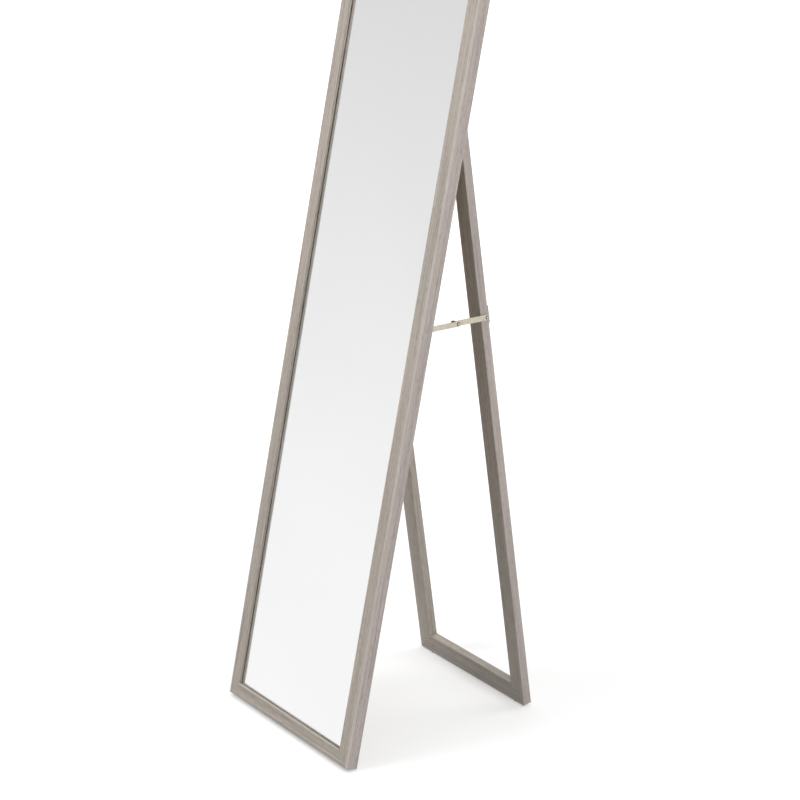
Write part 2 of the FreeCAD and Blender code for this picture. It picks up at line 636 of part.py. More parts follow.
stand_bracket = bracket(
    stand_ear_x, (STAND_HALF - BRACKET_FLANGE, STAND_HALF), (STAND_BACK, STAND_BACK + BRACKET_THICK),
    REAR_PIVOT_FOLDED, BRACKET_UP, BRACKET_DOWN, (stand_ear_x[1], STAND_BACK + BRACKET_THICK))
stand_nodes["stay_bracket_stand"] = [drilled(stand_bracket, stand_bracket_seats)]
stand_nodes["stay_bracket_stand_screws"] = [screw(seat, axis) for seat, axis in stand_bracket_seats]

# ---- stay links and rivets, straight between the open pivots ----
front_rivet = rivet(front_link_x[0], frame_ear_x[1], 1)
mirror_nodes["stay_front_rivet"] = [along_stay(front_rivet, FRONT_PIVOT)]
stay_nodes["stay_front_link"] = [front_link()]
stay_nodes["knee_washer"] = [knee_washer()]
stay_nodes["knee_rivet"] = [along_stay(rivet(knee_washer_x[0], front_link_x[1], 1), KNEE)]
stay_nodes["stay_rear_link"] = [rear_link()]
knee_tail = rivet(rear_link_x[0], rear_link_x[1], -1)
stay_nodes["knee_rivet_tail"] = [along_stay(knee_tail, KNEE)]
stay_nodes["stay_rear_rivet"] = [along_stay(rivet(stand_ear_x[0], rear_link_x[1], 1), REAR_PIVOT)]

# ---- feet ----
for name, place in zip(("frame_foot_left", "frame_foot_right"), frame_foot_places):
    mirror_nodes[name] = [foot_blank(place)]
for name, place in zip(("stand_foot_left", "stand_foot_right"), stand_foot_places):
    stand_nodes[name] = [foot_blank(place)]


# ======== open the stand, lean the mirror, flatten the feet and set the origin ========
def placed(solid, placements):
    """Apply placements in turn, on top of the one the solid already has."""
    piece = solid.copy()
    for placement in placements:
        piece.Placement = placement.multiply(piece.Placement)
    return piece


nodes = {}
for group, placements in ((mirror_nodes, [LEANED]), (stand_nodes, [SWING, LEANED]), (stay_nodes, [LEANED])):
    for name, solids in group.items():
        nodes[name] = [placed(solid, placements) for solid in solids]

floor_half = 2 * MIRROR_HEIGHT
below_floor = box((-floor_half, floor_half), (-floor_half, floor_half), (-FOOT_THICK * 2, 0))
for name in ("frame_foot_left", "frame_foot_right", "stand_foot_left", "stand_foot_right"):
    nodes[name] = [nodes[name][0].cut(below_floor)]

# The origin lies on the floor, midway between the foremost and the rearmost point.
foremost = nodes["frame_bottom_rail"][0].optimalBoundingBox().YMin
rearmost = nodes["stand_bottom_rail"][0].optimalBoundingBox().YMax
to_origin = Placement(Vector(0, -(foremost + rearmost) / 2, 0), Rotation())

os.makedirs("parts", exist_ok=True)
for name, solids in nodes.items():
    shapes = [placed(solid, [to_origin]) for solid in solids]
    shape = shapes[0] if len(shapes) == 1 else Part.makeCompound(shapes)
    shape.exportStep("parts/" + name + ".step")
    print(name, len(shapes), "solids", round(shape.Volume), "mm3", "valid" if shape.isValid() else "INVALID")

for label, (y, z) in (
    ("hinge pin", (PIN_DEPTH, PIN_HEIGHT)),
    ("front stay pivot", FRONT_PIVOT),
    ("rear stay pivot", REAR_PIVOT),
    ("rear stay pivot, folded", REAR_PIVOT_FOLDED),
    ("knee", KNEE),
):
    print(label, to_origin.multiply(LEANED).multVec(Vector(0, y, z)))
print("lean", LEAN, "stay line", STAY_ANGLE - LEAN, "link length", LINK_LENGTH)
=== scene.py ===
import json
import math

import bmesh
import bpy
from mathutils import Matrix, Vector


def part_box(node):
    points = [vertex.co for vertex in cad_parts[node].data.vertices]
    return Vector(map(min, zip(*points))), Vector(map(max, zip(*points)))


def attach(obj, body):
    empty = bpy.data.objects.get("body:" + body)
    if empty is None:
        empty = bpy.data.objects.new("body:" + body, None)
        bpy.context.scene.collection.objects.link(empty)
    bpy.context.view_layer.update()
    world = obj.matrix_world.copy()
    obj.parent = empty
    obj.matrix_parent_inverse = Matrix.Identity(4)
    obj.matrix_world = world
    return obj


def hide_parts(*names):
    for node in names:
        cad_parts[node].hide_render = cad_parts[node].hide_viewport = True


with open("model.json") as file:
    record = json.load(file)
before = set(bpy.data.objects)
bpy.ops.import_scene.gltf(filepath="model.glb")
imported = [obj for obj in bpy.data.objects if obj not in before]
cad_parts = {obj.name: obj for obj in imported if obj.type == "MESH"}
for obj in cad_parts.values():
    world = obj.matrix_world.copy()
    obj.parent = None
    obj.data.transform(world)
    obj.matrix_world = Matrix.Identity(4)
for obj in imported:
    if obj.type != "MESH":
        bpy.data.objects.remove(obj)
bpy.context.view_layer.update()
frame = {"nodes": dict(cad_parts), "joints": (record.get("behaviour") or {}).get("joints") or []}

MM = 0.001


# ---- Mirror frame: four mitred lengths of moulding ----
# A picture-frame moulding of wood, wrapped in printed wood-grain foil: rounded outer bead, a flat
# field a little lower, and a small raised lip around the pane. The corners are mitred, glued and
# nailed from behind, so a fine line shows across each corner.
FRAME_WIDTH = 370 * MM
FRAME_HEIGHT = 1570 * MM
FRAME_DEPTH = 25 * MM
FACE_WIDTH = 26 * MM
LIP_BACK = 6.3 * MM      # lip and glass together fill 8.6 mm; the glass is the thinner part
WALL_WIDTH = 20 * MM
FOLD_GAP = 0.5 * MM
LEAN = math.radians(11.639)
PIN_UPRIGHT = Vector((0, 28.1 * MM, 1105 * MM))    # hinge pin in the upright, unopened mirror

joints = {joint["name"]: joint for joint in frame["joints"]}
hinge_pin = Vector(joints["stand_fold"]["pos_m"])
stand_opening = math.radians(joints["stand_fold"]["range_deg"][1])
mirror_place = (Matrix.Translation(hinge_pin) @ Matrix.Rotation(-LEAN, 4, "X")
                @ Matrix.Translation(-PIN_UPRIGHT))
stand_place = (Matrix.Translation(hinge_pin) @ Matrix.Rotation(stand_opening - LEAN, 4, "X")
               @ Matrix.Translation(-PIN_UPRIGHT))


def linear(hex_colour):
    """An sRGB colour such as B3A79C as linear RGBA."""
    channels = [int(hex_colour[i:i + 2], 16) / 255 for i in (0, 2, 4)]
    return [c / 12.92 if c <= 0.04045 else ((c + 0.055) / 1.055) ** 2.4 for c in channels] + [1]


def add(tree, kind, inputs=(), **settings):
    """Add a shader node; an input is given as (socket, value or output to link)."""
    node = tree.nodes.new(kind)
    for name, value in settings.items():
        setattr(node, name, value)
    for socket, value in inputs:
        if isinstance(value, bpy.types.NodeSocket):
            tree.links.new(value, node.inputs[socket])
        else:
            node.inputs[socket].default_value = value
    return node


def new_material(name, **values):
    """A material with one Principled shader, and its node tree."""
    material = bpy.data.materials.new(name)
    material.use_nodes = True
    shader = material.node_tree.nodes["Principled BSDF"]
    for socket, value in values.items():
        shader.inputs[socket.replace("_", " ")].default_value = value
    return material, material.node_tree, shader


def stretched_noise(tree, coords, cell, detail, roughness=0.5):
    """Noise whose cells measure the given millimetres along X, Y and Z."""
    mapped = add(tree, "ShaderNodeMapping", [(0, coords), (3, [1 / (size * MM) for size in cell])])
    return add(tree, "ShaderNodeTexNoise", [(0, mapped.outputs[0]), ("Scale", 1.0), ("Detail", detail),
                                            ("Roughness", roughness)]).outputs[0]


def graded(tree, factor, stops):
    """A colour ramp through (position, colour) stops."""
    ramp = add(tree, "ShaderNodeValToRGB", [(0, factor)])
    while len(ramp.color_ramp.elements) < len(stops):
        ramp.color_ramp.elements.new(0.5)
    for element, (position, colour) in zip(ramp.color_ramp.elements, stops):
        element.position = position
        element.color = linear(colour)
    return ramp.outputs[0]


def own_coordinates(tree):
    """Coordinates along the piece's own axes, shifted for each piece so that no two match."""
    coords = add(tree, "ShaderNodeTexCoord").outputs["Object"]
    chance = add(tree, "ShaderNodeObjectInfo").outputs["Random"]
    return add(tree, "ShaderNodeVectorMath", [(0, coords), (1, chance)], operation="ADD").outputs[0]


# Printed foil over wood: a matt to silky grey-brown, with fine lengthwise streaks, bands a few
# millimetres wide that run from olive to pink, and short dark pores pressed in a little. The
# print is wrapped so that its pinker part lies on the outer side.
foil, tree, shader = new_material("grey_brown_wood_grain_foil", IOR=1.42)
coords = own_coordinates(tree)
bands = stretched_noise(tree, coords, (420, 7, 7), 3.0)
face_bands = graded(tree, bands, [(0.3, "B0ABA0"), (0.5, "B8AFA4"), (0.7, "C0B4AB")])
side_bands = graded(tree, bands, [(0.3, "B3AAA4"), (0.5, "BCB1AB"), (0.7, "C4B9B3")])
drawn = add(tree, "ShaderNodeSeparateXYZ", [(0, add(tree, "ShaderNodeTexCoord").outputs["Object"])]).outputs
in_from_side = drawn[2]
on_face = add(tree, "ShaderNodeMapRange", [(0, in_from_side), ("From Min", 0.5 * MM),
                                           ("From Max", 4 * MM)]).outputs[0]
band_colour = add(tree, "ShaderNodeMix", [("Factor", on_face), (6, side_bands), (7, face_bands)],
                  data_type="RGBA").outputs[2]
streaks = stretched_noise(tree, coords, (160, 1.6, 1.6), 5.0, 0.65)
streak_shade = graded(tree, streaks, [(0.25, "B8B8B8"), (0.5, "EDEDED"), (0.75, "FFFFFF")])
streaked = add(tree, "ShaderNodeMix", [("Factor", 1.0), (6, band_colour), (7, streak_shade)],
               data_type="RGBA", blend_type="MULTIPLY").outputs[2]
pores = stretched_noise(tree, coords, (14, 0.45, 0.45), 2.0)
pore_shade = graded(tree, pores, [(0.32, "A8A8A8"), (0.4, "FFFFFF")])
coloured = add(tree, "ShaderNodeMix", [("Factor", 1.0), (6, streaked), (7, pore_shade)],
               data_type="RGBA", blend_type="MULTIPLY").outputs[2]
# Painted highlight: the moulding is coloured lighter along its bead's outer corner near the front, where the
# rounded edge would catch the light.
on_bead = add(tree, "ShaderNodeMapRange", [(0, in_from_side), ("From Min", 2.6 * MM),
                                           ("From Max", 1 * MM)]).outputs[0]
near_front = add(tree, "ShaderNodeMapRange", [(0, drawn[1]), ("From Min", 6.5 * MM), ("From Max", 4.5 * MM),
                                              ("To Max", 0.38)]).outputs[0]
# painted highlight: a lighter band mixed in where the bead turns to the side
painted_bead_highlight = add(tree, "ShaderNodeMath", [(0, on_bead), (1, near_front)], operation="MULTIPLY").outputs[0]
foil_with_painted_highlight = add(tree, "ShaderNodeMix", [("Factor", painted_bead_highlight), (6, coloured), (7, linear("CFC5BD"))],
                  data_type="RGBA").outputs[2]
tree.links.new(foil_with_painted_highlight, shader.inputs["Base Color"])
silk = add(tree, "ShaderNodeMapRange", [(0, streaks), ("To Min", 0.5), ("To Max", 0.38)]).outputs[0]
tree.links.new(silk, shader.inputs["Roughness"])
relief = add(tree, "ShaderNodeMix", [("Factor", 0.5), (2, streaks), (3, pores)], data_type="FLOAT").outputs[0]
bump = add(tree, "ShaderNodeBump", [("Strength", 0.35), ("Distance", 0.12 * MM), ("Height", relief)])
tree.links.new(bump.outputs[0], shader.inputs["Normal"])


def arc(centre, radius, first, last, steps):
    """Points on a circle from the first to the last angle, in degrees."""
    angles = [math.radians(first + (last - first) * i / steps) for i in range(steps + 1)]
    return [(centre[0] + radius * math.cos(a), centre[1] + radius * math.sin(a)) for a in angles]


def bar_mesh(name, section, length, end_at, rungs=False):
    """A bar along X. The section holds (in from the outer edge, back from the front) points,
    and end_at gives how far each point lies short of the bar's full half length."""
    count = len(section)
    vertices = []
    for side in (-1, 1):
        vertices += [(side * (length / 2 - end_at(u)), t, u) for u, t in section]
    faces = [(i, (i + 1) % count, count + (i + 1) % count, count + i) for i in range(count)]
    for start in (0, count):
        if rungs:
            caps = [(start + i, start + i + 1, start + count - 2 - i, start + count - 1 - i)
                    for i in range(count // 2 - 1)]
        else:
            caps = [tuple(range(start, start + count))]
        faces += caps
    mesh = bpy.data.meshes.new(name)
    mesh.from_pydata(vertices, [], faces)
    return mesh


SHARP_ANGLE = math.radians(32)    # a bend sharper than this is a hard edge


def finished(mesh, place, material, bevel=0.2 * MM):
    """An object with outward normals, smooth curves and slightly eased hard edges."""
    work = bmesh.new()
    work.from_mesh(mesh)
    bmesh.ops.recalc_face_normals(work, faces=work.faces)
    work.to_mesh(mesh)
    work.free()
    for polygon in mesh.polygons:
        polygon.use_smooth = True
    mesh.set_sharp_from_angle(angle=SHARP_ANGLE)
    piece = bpy.data.objects.new(mesh.name, mesh)
    bpy.context.scene.collection.objects.link(piece)
    piece.matrix_world = place
    mesh.materials.append(material)
    if bevel:
        easing = piece.modifiers.new("eased_edges", "BEVEL")
        easing.width = bevel
        easing.segments = 2
        easing.limit_method = "ANGLE"
        easing.angle_limit = SHARP_ANGLE
        easing.harden_normals = True
    return piece


def four_places(width, height, bottom):
    """Where the left stile, right stile, top rail and bottom rail of a frame go."""
    middle = bottom + height / 2
    return (
        ("left_stile", height,
         Matrix.Translation((-width / 2, 0, middle)) @ Matrix.Rotation(math.pi / 2, 4, "Y")),
        ("right_stile", height,
         Matrix.Translation((width / 2, 0, middle)) @ Matrix.Rotation(-math.pi / 2, 4, "Y")),
        ("top_rail", width, Matrix.Translation((0, 0, bottom + height)) @ Matrix.Rotation(math.pi, 4, "Y")),
        ("bottom_rail", width, Matrix.Translation((0, 0, bottom))),
    )


# The outline, as (in from the outer edge, back from the front): bead, flat field and lip, then the
# rebate for the pane and board, the back, and a fine groove along the outer side.
front_outline_mm = (
    arc((3, 4.255), 3, 180, 235.15, 8)
    + arc((7, 10), 10, 235.15, 270, 8)[1:]
    + [(8.4, 0), (9.1, 0.7), (21.8, 0.7), (23.2, 0)]
    + arc((24, 2), 2, 270, 360, 8)
)
side_outline_mm = [(0.8, 25), (0, 24.2), (0, 16.2), (0.7, 15.5), (0, 14.8)]
moulding = [(u * MM, t * MM) for u, t in front_outline_mm]
moulding += [(FACE_WIDTH, LIP_BACK), (WALL_WIDTH, LIP_BACK), (WALL_WIDTH, FRAME_DEPTH)]
moulding += [(u * MM, t * MM) for u, t in side_outline_mm]
MITRE_GAP = 0.05 * MM
for name, length, place in four_places(FRAME_WIDTH, FRAME_HEIGHT, 0):
    mesh = bar_mesh("moulding_" + name, moulding, length, lambda u: u + MITRE_GAP)
    bar = finished(mesh, mirror_place @ place, foil)
    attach(bar, "mirror")
    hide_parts("frame_" + name)


# ---- Pane: mirror glass ----
# One sheet of thin float glass, silvered and painted behind. It lies against the lip of the
# moulding. The silver is seen through the thickness of the glass, which gives the thin dark line
# along the far edge of the sight opening.
glass, tree, shader = new_material(
    "clear_float_glass", Base_Color=linear("FDFEFD"), Roughness=0.0, IOR=1.52, Transmission_Weight=1.0)
dust = stretched_noise(tree, own_coordinates(tree), (90, 90, 90), 3.0)
haze = add(tree, "ShaderNodeMapRange", [(0, dust), ("To Min", 0.0), ("To Max", 0.004)]).outputs[0]
tree.links.new(haze, shader.inputs["Roughness"])

# Chemically deposited silver: nearly white metal, faintly uneven.
silver, tree, shader = new_material("mirror_silvering", Metallic=1.0, Roughness=0.0)
deposit = stretched_noise(tree, own_coordinates(tree), (300, 300, 300), 2.0)
tree.links.new(graded(tree, deposit, [(0.3, "FAFAFA"), (0.7, "FCFCFC")]), shader.inputs["Base Color"])

PANE_CLEARANCE = 1 * MM
PANE_BACK = 8.6 * MM
PANE_SHRINK = 0.1 * MM    # keeps the faces of the pane just clear of the lip and of the board
half_x = FRAME_WIDTH / 2 - WALL_WIDTH - PANE_CLEARANCE
low = WALL_WIDTH + PANE_CLEARANCE
high = FRAME_HEIGHT - low
front = LIP_BACK + PANE_SHRINK
back = PANE_BACK - PANE_SHRINK
corners = [(x, y, z) for y in (front, back) for z in (low, high) for x in (-half_x, half_x)]
mesh = bpy.data.meshes.new("pane")
sides = [(0, 1, 3, 2), (4, 6, 7, 5), (0, 4, 5, 1), (2, 3, 7, 6), (0, 2, 6, 4), (1, 5, 7, 3)]
mesh.from_pydata(corners, [], sides)
pane = finished(mesh, mirror_place, glass, bevel=0)
mesh.materials.append(silver)
mesh.polygons[1].material_index = 1    # the back
for polygon in mesh.polygons:
    polygon.use_smooth = False
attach(pane, "mirror")
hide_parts("mirror_pane")


# ---- Rear stand: four mitred bars of the same foil-wrapped wood ----
# Plain rectangular bars with eased edges, mitred and nailed from behind, the outer corners
# rounded off. Hung from the back of the mirror frame on two butt hinges.
STAND_WIDTH = 312 * MM
STAND_FRONT = FRAME_DEPTH + FOLD_GAP
STAND_BOTTOM = 13 * MM
STAND_TOP = PIN_UPRIGHT.z - 2.8 * MM
STAND_CORNER = 4 * MM
STAND_BAR_WIDTH = 34 * MM
STAND_BAR_DEPTH = 16 * MM
STAND_EDGE = 1.5 * MM    # radius of the eased long edges
stand_half = (arc((STAND_EDGE, STAND_EDGE), STAND_EDGE, 180, 270, 6)
              + arc((STAND_BAR_WIDTH - STAND_EDGE, STAND_EDGE), STAND_EDGE, 270, 360, 6))
stand_section = [(u, STAND_FRONT + t) for u, t in stand_half]
stand_section += [(u, STAND_FRONT + STAND_BAR_DEPTH - t) for u, t in reversed(stand_half)]


def stand_end(u):
    """The mitre, cut back where the outer corner is rounded."""
    rounded = STAND_CORNER - math.sqrt(max(0.0, STAND_CORNER ** 2 - max(0.0, STAND_CORNER - u) ** 2))
    return max(u, rounded) + MITRE_GAP


for name, length, place in four_places(STAND_WIDTH, STAND_TOP - STAND_BOTTOM, STAND_BOTTOM):
    mesh = bar_mesh("stand_bar_" + name, stand_section, length, stand_end, rungs=True)
    bar = finished(mesh, stand_place @ place, foil)
    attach(bar, "stand")
    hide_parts("stand_" + name)


# ---- Folding stay: links ----
# Two flat links of pressed steel with a pale cream plating, half-round at both ends. The rear link
# runs on past the knee, and a tab on its upper edge is bent over the front link as a stop.
LINK_HALF_WIDTH = 4.8 * MM
LINK_THICK = 1.5 * MM
LINK_TAIL = 10.2 * MM    # from the knee to the centre of the rounded end
RIVET_HOLE_RADIUS = 2.05 * MM
TAB_START = 7 * MM
TAB_LENGTH = 5.5 * MM
TAB_GAP = 0.2 * MM
front_pivot = Vector(joints["front_link_turn"]["pos_m"])
rear_pivot = Vector(joints["rear_link_turn"]["pos_m"])
front_pivot.x = rear_pivot.x = 0
link_length = (rear_pivot - front_pivot).length / 2
stay_dip = math.atan2(rear_pivot.z - front_pivot.z, rear_pivot.y - front_pivot.y)
front_link_x = (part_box("stay_front_link")[0][0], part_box("stay_front_link")[1][0])
rear_link_x = (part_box("stay_rear_link")[0][0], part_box("stay_rear_link")[0][0] + LINK_THICK)

# Zinc plating with a cream passivation: satin, a little cloudy, rubbed brighter along the link.
plating, tree, shader = new_material("cream_passivated_zinc_plating", Metallic=0.6)
coords = own_coordinates(tree)
cloud = stretched_noise(tree, coords, (9, 9, 9), 4.0, 0.6)
tree.links.new(graded(tree, cloud, [(0.3, "C6BBA9"), (0.5, "D0C6B6"), (0.7, "D9D0C3")]),
               shader.inputs["Base Color"])
rubbed = stretched_noise(tree, coords, (0.5, 25, 0.5), 3.0)
rubbed_gloss = add(tree, "ShaderNodeMapRange", [(0, rubbed), ("To Min", 0.3), ("To Max", 0.5)]).outputs[0]
tree.links.new(rubbed_gloss, shader.inputs["Roughness"])


# Dark dull steel on the stop tab: partly its bare cut edge, partly painted shade where the bent tab sits over
# the front link.
tab_steel_and_painted_shade, tree, shader = new_material("bare_sheared_steel", Metallic=0.7, Roughness=0.6)
tab_mottle = stretched_noise(tree, own_coordinates(tree), (0.4, 2, 0.4), 3.0)
tree.links.new(graded(tree, tab_mottle, [(0.3, "3F3B36"), (0.7, "6B655C")]), shader.inputs["Base Color"])


def along_stay(pivot):
    """The place of a piece that is drawn about its pivot, with Y along the open stay."""
    return Matrix.Translation(pivot) @ Matrix.Rotation(stay_dip, 4, "X")


def link_mesh(name, x_range, start, stop, holes, tab_x=None):
    """A flat bar along Y with half-round ends and rivet holes, and a stop tab that ends at tab_x."""
    work = bmesh.new()
    outline = arc((start, 0), LINK_HALF_WIDTH, 90, 270, 20) + arc((stop, 0), LINK_HALF_WIDTH, -90, 90, 20)
    loops = [outline] + [arc((hole, 0), RIVET_HOLE_RADIUS, 0, 345, 23) for hole in holes]
    edges = []
    for loop in loops:
        corners = [work.verts.new((x_range[0], y, z)) for y, z in loop]
        edges += [work.edges.new((corners[i - 1], corners[i])) for i in range(len(corners))]
    plate = bmesh.ops.triangle_fill(work, use_beauty=True, edges=edges)
    faces = [face for face in plate["geom"] if isinstance(face, bmesh.types.BMFace)]
    grown = bmesh.ops.extrude_face_region(work, geom=faces)["geom"]
    bmesh.ops.translate(work, verts=[v for v in grown if isinstance(v, bmesh.types.BMVert)],
                        vec=(x_range[1] - x_range[0], 0, 0))
    if tab_x is not None:
        near, far = -TAB_START - link_length, -TAB_START - TAB_LENGTH - link_length
        below, above = LINK_HALF_WIDTH, LINK_HALF_WIDTH + TAB_GAP + LINK_THICK
        section = [(x_range[0], below), (x_range[0], above), (tab_x, above), (tab_x, above - LINK_THICK),
                   (x_range[1], above - LINK_THICK), (x_range[1], below)]
        ends = [[work.verts.new((x, y, z)) for x, z in section] for y in (near, far)]
        work.faces.new(ends[0])
        work.faces.new(ends[1])
        for i in range(len(section)):
            bent = work.faces.new((ends[0][i - 1], ends[0][i], ends[1][i], ends[1][i - 1]))
            # the tab's faces take the dark steel, partly painted shade
            bent.material_index = 1
    mesh = bpy.data.meshes.new(name)
    work.to_mesh(mesh)
    work.free()
    return mesh


front_mesh = link_mesh("stay_link_front", front_link_x, 0, link_length, (0, link_length))
front_link = finished(front_mesh, along_stay(front_pivot), plating)
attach(front_link, "front_link")
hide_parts("stay_front_link")

rear_mesh = link_mesh("stay_link_rear", rear_link_x, -link_length - LINK_TAIL, 0, (-link_length, 0),
                      tab_x=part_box("stay_rear_link")[1][0])
rear_link = finished(rear_mesh, along_stay(rear_pivot), plating)
rear_mesh.materials.append(tab_steel_and_painted_shade)
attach(rear_link, "rear_link")
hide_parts("stay_rear_link")


def repaint(material, *nodes):
    """Give carried-over CAD nodes their material."""
    for node in nodes:
        mesh = frame["nodes"][node].data
        mesh.materials.clear()
        mesh.materials.append(material)


repaint(plating, "knee_washer")


# ---- Folding stay: rivets ----
# Solid steel rivets with low domed heads, set by a press. The front one holds the front link to
# its bracket, the rear one the rear link, and the knee rivet joins the two links.
RIVET_RADIUS = 2 * MM
RIVET_HEAD_RADIUS = 3.3 * MM
RIVET_HEAD_HEIGHT = 1 * MM
RIVET_HEAD_RIM = 0.2 * MM

# Pressed steel with painted light: the crown of the head is coloured bright as a painted highlight, and the
# flank dark as painted shade; the flank is also duller.
rivet_steel, tree, shader = new_material("domed_rivet_steel", Metallic=0.8)
drawn = add(tree, "ShaderNodeTexCoord").outputs["Object"]
across = add(tree, "ShaderNodeMapping", [(0, drawn), (3, (0, 1, 1))]).outputs[0]
from_axis = add(tree, "ShaderNodeVectorMath", [(0, across)], operation="LENGTH").outputs["Value"]
out_share = add(tree, "ShaderNodeMapRange", [(0, from_axis), ("From Max", RIVET_HEAD_RADIUS)]).outputs[0]
speckle = stretched_noise(tree, own_coordinates(tree), (0.8, 0.8, 0.8), 3.0)
# painted highlight on the crown fading to painted shade on the flank, with a little speckle
speckle_and_painted_light = add(tree, "ShaderNodeMath", [(0, speckle), (1, 0.2), (2, out_share)],
           operation="MULTIPLY_ADD").outputs[0]
tree.links.new(graded(tree, speckle_and_painted_light, [(0.45, "DCD6CA"), (0.72, "8E877B"), (0.9, "4A453E")]),
               shader.inputs["Base Color"])
rim_gloss = add(tree, "ShaderNodeMapRange", [(0, speckle_and_painted_light), ("To Min", 0.28), ("To Max", 0.55)]).outputs[0]
tree.links.new(rim_gloss, shader.inputs["Roughness"])


def rivet_mesh(name, low, high, head_side):
    """A rivet along X from low to high, its domed head at the end that head_side names."""
    seat, crown = (high, low) if head_side < 0 else (low, high)
    neck = crown - head_side * RIVET_HEAD_HEIGHT
    rim = neck + head_side * RIVET_HEAD_RIM
    dome = [(RIVET_HEAD_RADIUS * math.cos(math.radians(a)), rim + (crown - rim) * math.sin(math.radians(a)))
            for a in range(0, 90, 15)]
    profile = [(0, seat), (RIVET_RADIUS, seat), (RIVET_RADIUS, neck), (RIVET_HEAD_RADIUS, neck)] + dome
    profile.append((0, crown))
    work = bmesh.new()
    corners = [work.verts.new((x, r, 0)) for r, x in profile]
    edges = [work.edges.new(pair) for pair in zip(corners, corners[1:])]
    bmesh.ops.spin(work, geom=corners + edges, cent=(0, 0, 0), axis=(1, 0, 0), angle=math.tau, steps=28,
                   use_duplicate=False)
    bmesh.ops.remove_doubles(work, verts=work.verts, dist=0.001 * MM)
    mesh = bpy.data.meshes.new(name)
    work.to_mesh(mesh)
    work.free()
    return mesh


knee = (front_pivot + rear_pivot) / 2
for name, node, body, pivot, head_side in (
    ("rivet_front", "stay_front_rivet", "mirror", front_pivot, 1),
    ("rivet_knee", "knee_rivet", "front_link", knee, 1),
    ("rivet_knee_tail", "knee_rivet_tail", "rear_link", knee, -1),
    ("rivet_rear", "stay_rear_rivet", "stand", rear_pivot, 1),
):
    mesh = rivet_mesh(name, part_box(node)[0][0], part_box(node)[1][0], head_side)
    rivet = finished(mesh, along_stay(pivot), rivet_steel, bevel=0)
    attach(rivet, body)
    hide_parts(node)


# ---- Back: pressed board and hinge rail ----
# The pane is backed by a sheet of thin hardboard, held by flat steel points. A planed softwood
# batten is set between the stiles above the stand to take the hinges.
board, tree, shader = new_material("brown_pressed_board", Roughness=0.8)
coords = own_coordinates(tree)
fibres = stretched_noise(tree, coords, (3.5, 3.5, 3.5), 8.0, 0.7)
tree.links.new(graded(tree, fibres, [(0.25, "6E5A45"), (0.5, "8A735A"), (0.8, "A68E72")]),
               shader.inputs["Base Color"])
mesh_marks = add(tree, "ShaderNodeTexVoronoi", [(0, coords), ("Scale", 450.0)]).outputs[0]
bump = add(tree, "ShaderNodeBump", [("Strength", 0.4), ("Distance", 0.3 * MM), ("Height", mesh_marks)])
tree.links.new(bump.outputs[0], shader.inputs["Normal"])
repaint(board, "backing_board")

batten, tree, shader = new_material("planed_softwood", Roughness=0.62)
coords = own_coordinates(tree)
rings = stretched_noise(tree, coords, (260, 5, 5), 4.0, 0.6)
tree.links.new(graded(tree, rings, [(0.3, "B08A5E"), (0.5, "CDAA7C"), (0.72, "DCC09A")]),
               shader.inputs["Base Color"])
bump = add(tree, "ShaderNodeBump", [("Strength", 0.3), ("Distance", 0.2 * MM), ("Height", rings)])
tree.links.new(bump.outputs[0], shader.inputs["Normal"])
repaint(batten, "hinge_rail")


# ---- Hinges, screws and nails ----
# Small steel fittings with bright zinc plating: the hinges pressed from sheet with rolled
# knuckles, the screws flat-headed, the nails V-shaped and driven across the joints.
zinc, tree, shader = new_material("bright_zinc_plated_steel", Metallic=1.0, Roughness=0.3)
coords = own_coordinates(tree)
spangle = stretched_noise(tree, coords, (4, 4, 4), 5.0, 0.6)
tree.links.new(graded(tree, spangle, [(0.3, "A9ABAC"), (0.7, "C9CCCE")]), shader.inputs["Base Color"])
dulled = add(tree, "ShaderNodeMapRange", [(0, spangle), ("To Min", 0.22), ("To Max", 0.42)]).outputs[0]
tree.links.new(dulled, shader.inputs["Roughness"])
repaint(zinc, "hinge_leaf_frame_left", "hinge_leaf_frame_right", "hinge_leaf_stand_left",
        "hinge_leaf_stand_right", "hinge_pin_left", "hinge_pin_right", "frame_leaf_screws",
        "stand_leaf_screws", "glazing_points", "frame_corner_nails", "stand_corner_nails",
        "hinge_rail_nails", "stay_bracket_frame", "stay_bracket_stand", "stay_bracket_frame_screws",
        "stay_bracket_stand_screws")


# ---- Feet and setting blocks ----
# Soft black rubber, matt and slightly dusty; each foot is a disc glued under the wood.
rubber, tree, shader = new_material("black_foot_rubber", Roughness=0.85)
coords = own_coordinates(tree)
dusty = stretched_noise(tree, coords, (2, 2, 2), 4.0, 0.6)
tree.links.new(graded(tree, dusty, [(0.35, "2C2A29"), (0.7, "45423F")]), shader.inputs["Base Color"])
bump = add(tree, "ShaderNodeBump", [("Strength", 0.2), ("Distance", 0.1 * MM), ("Height", dusty)])
tree.links.new(bump.outputs[0], shader.inputs["Normal"])
repaint(rubber, "frame_foot_left", "frame_foot_right", "stand_foot_left", "stand_foot_right",
        "setting_blocks")


# ---- Floor, backdrop and lamps ----
# A white studio: a pale matt floor that runs into a white background, and a backdrop that greys
# slowly with height, which the glass reflects. One softbox hangs overhead and one high in front,
# one stands to the right and a weaker one behind, so the stand behind the mirror stays in shade.
FLOOR_RADIUS = 7.0
floor_material, tree, shader = new_material("white_studio_floor", Roughness=0.9, Base_Color=linear("C0C0C0"))
rays = add(tree, "ShaderNodeLightPath").outputs
drawn = add(tree, "ShaderNodeTexCoord").outputs["Object"]
distance = add(tree, "ShaderNodeVectorMath", [(0, drawn)], operation="LENGTH").outputs["Value"]
far_lift = add(tree, "ShaderNodeMapRange", [(0, distance), ("From Min", 0.6), ("From Max", 4.5),
                                            ("To Min", 0.42), ("To Max", 1.0)]).outputs[0]
lift = add(tree, "ShaderNodeMath", [(0, rays["Is Camera Ray"]), (1, far_lift)], operation="MULTIPLY")
shader.inputs["Emission Color"].default_value = (1, 1, 1, 1)
